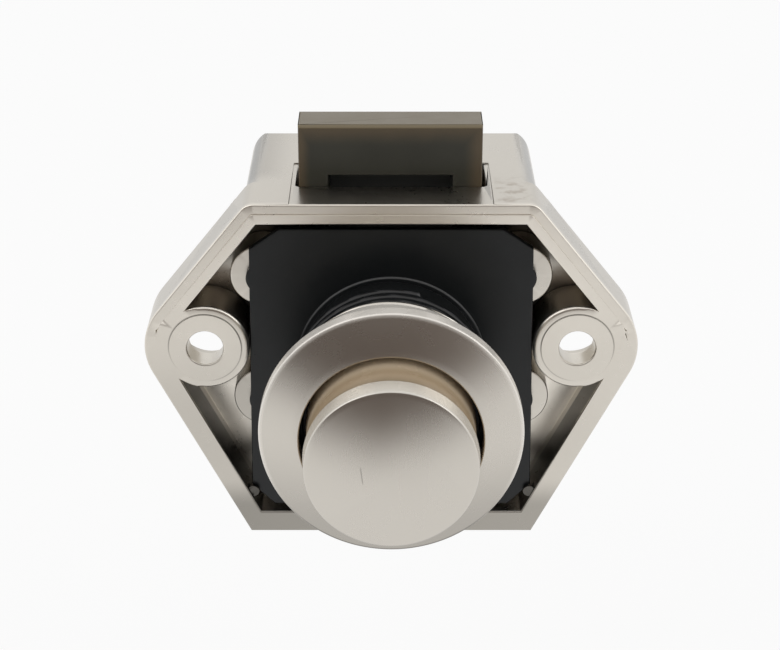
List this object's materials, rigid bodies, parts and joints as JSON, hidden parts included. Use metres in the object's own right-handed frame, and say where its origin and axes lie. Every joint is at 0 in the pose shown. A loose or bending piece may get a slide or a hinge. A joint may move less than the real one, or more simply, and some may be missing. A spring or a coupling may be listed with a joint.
{
  "type": "pushbutton cabinet lock",
  "caption": "Satin nickel pushbutton cabinet lock: six-sided flange with two ears, sprung slam bolt, black threaded collar, screw-on rosette and round button.",
  "frame": {"origin": "where the axis of the button meets the plane of the rim, which bears on the inside of the door", "axes": "+X along the flange from ear to ear, +Z along the way the bolt stands out, -Y out of the door towards the person who presses the button"},
  "size_m": [0.061, 0.0551, 0.0527],
  "materials": {
    "zinc_nickel": "satin nickel plated zinc casting",
    "rosette_nickel": "turned, satin nickel plated",
    "button_nickel": "fine brushed, satin nickel plated",
    "black_plastic": "black, half gloss moulding",
    "plunger_plastic": "black moulding",
    "bolt_plastic": "dark grey-brown moulding, smooth",
    "inner_steel": "plain steel",
    "spring_steel": "bright spring wire"
  },
  "bodies": {
    "case": {"housing": "zinc_nickel", "cover_plate": "black_plastic", "plunger_spring": "spring_steel", "bolt_spring_left": "spring_steel", "bolt_spring_right": "spring_steel", "spring_pin_left": "inner_steel", "spring_pin_right": "inner_steel"},
    "button": {"button_cap": "button_nickel", "cap_snap_ring": "spring_steel", "plunger": "plunger_plastic", "release_wedge": "inner_steel", "wedge_pin": "inner_steel"},
    "bolt": {"latch_bolt": "bolt_plastic", "bolt_pin": "inner_steel"},
    "rosette": {"rosette": "rosette_nickel"}
  },
  "joints": [
    {"name": "button_press", "type": "slide", "parent": "case", "child": "button", "axis": [0, 1, 0], "range_m": [0, 0.0077], "stiffness_N_per_m": 250, "springref_m": -0.01, "deforming": ["plunger_spring"]},
    {"name": "bolt_slide", "type": "slide", "parent": "case", "child": "bolt", "axis": [0, 0, -1], "range_m": [0, 0.0077], "stiffness_N_per_m": 150, "springref_m": -0.008, "deforming": ["bolt_spring_left", "bolt_spring_right"]},
    {"name": "rosette_adjust", "type": "slide", "parent": "case", "child": "rosette", "axis": [0, -1, 0], "range_m": [-0.0028, 0.0035]}
  ],
  "couplings": [
    {"joint": "bolt_slide", "follows": "button_press", "ratio": 1}
  ]
}
